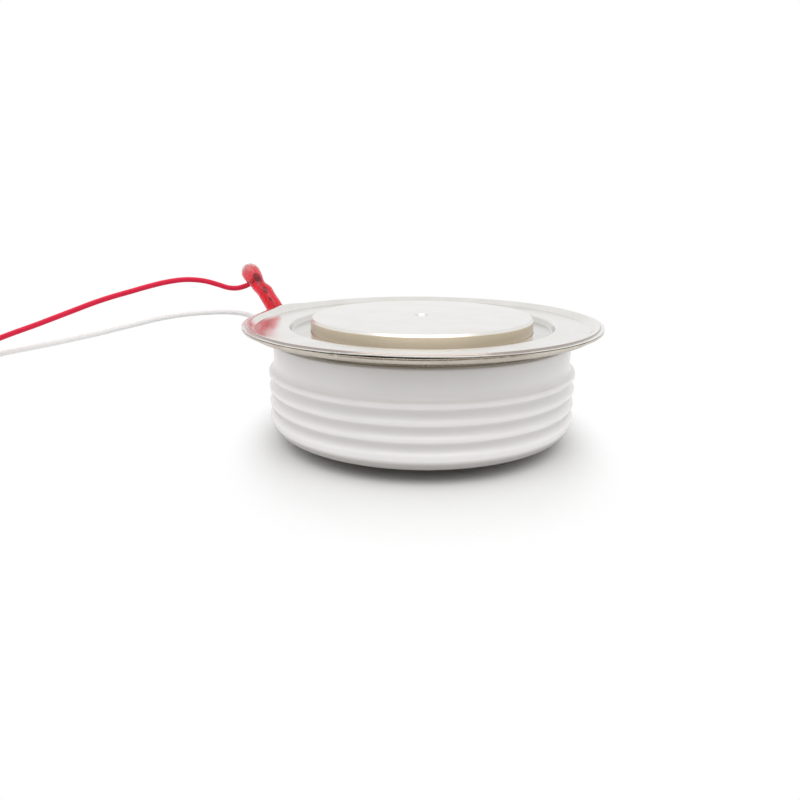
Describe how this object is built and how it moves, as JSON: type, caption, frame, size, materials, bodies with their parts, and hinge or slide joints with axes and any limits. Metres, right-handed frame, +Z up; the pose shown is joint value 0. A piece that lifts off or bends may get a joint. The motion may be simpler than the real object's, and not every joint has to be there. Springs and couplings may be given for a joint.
{
  "type": "disc thyristor",
  "caption": "Disc thyristor in a ribbed ceramic press-pack housing, with a round contact face at each end, a thin cold-welded flange and thin control leads at one side.",
  "frame": {"origin": "centre of the lower contact face (the anode), on the mouth of its locating hole", "axes": "+Z up the axis to the upper contact face (the cathode); -Y to the picture's viewer; -X to the side where the leads leave"},
  "size_m": [0.1713, 0.075, 0.0354],
  "materials": {
    "alumina": "gloss",
    "nickel": "satin",
    "molybdenum": "satin",
    "silicon": "polished",
    "insulator": "matte",
    "gilt": "polished",
    "spring_steel": "satin",
    "tinned_copper": "satin",
    "red_sleeving": "translucent gloss",
    "white_sleeving": "gloss",
    "red_wire": "semi-gloss",
    "white_wire": "semi-gloss",
    "tie": "matte"
  },
  "bodies": {
    "root": {"ceramic_ring": "alumina", "anode_pole": "nickel", "anode_flange": "nickel", "weld_ring": "nickel", "cathode_flange": "nickel", "cathode_pole": "nickel", "anode_disc": "molybdenum", "silicon_wafer": "silicon", "cathode_disc": "molybdenum", "centring_ring": "insulator", "gate_pin": "gilt", "gate_spring": "spring_steel", "gate_cup": "insulator", "inner_gate_lead": "tinned_copper", "inner_sleeving": "insulator", "gate_tube": "nickel", "gate_sleeve": "white_sleeving", "cathode_tab": "tinned_copper", "solder_joint": "tinned_copper", "red_lead_core": "tinned_copper", "red_sleeve": "red_sleeving", "red_lead": "red_wire", "red_coil": "red_wire", "red_tie": "tie", "red_tip": "tinned_copper", "white_lead": "white_wire", "white_coil": "white_wire", "white_tie": "tie", "white_tip": "tinned_copper"}
  },
  "joints": []
}
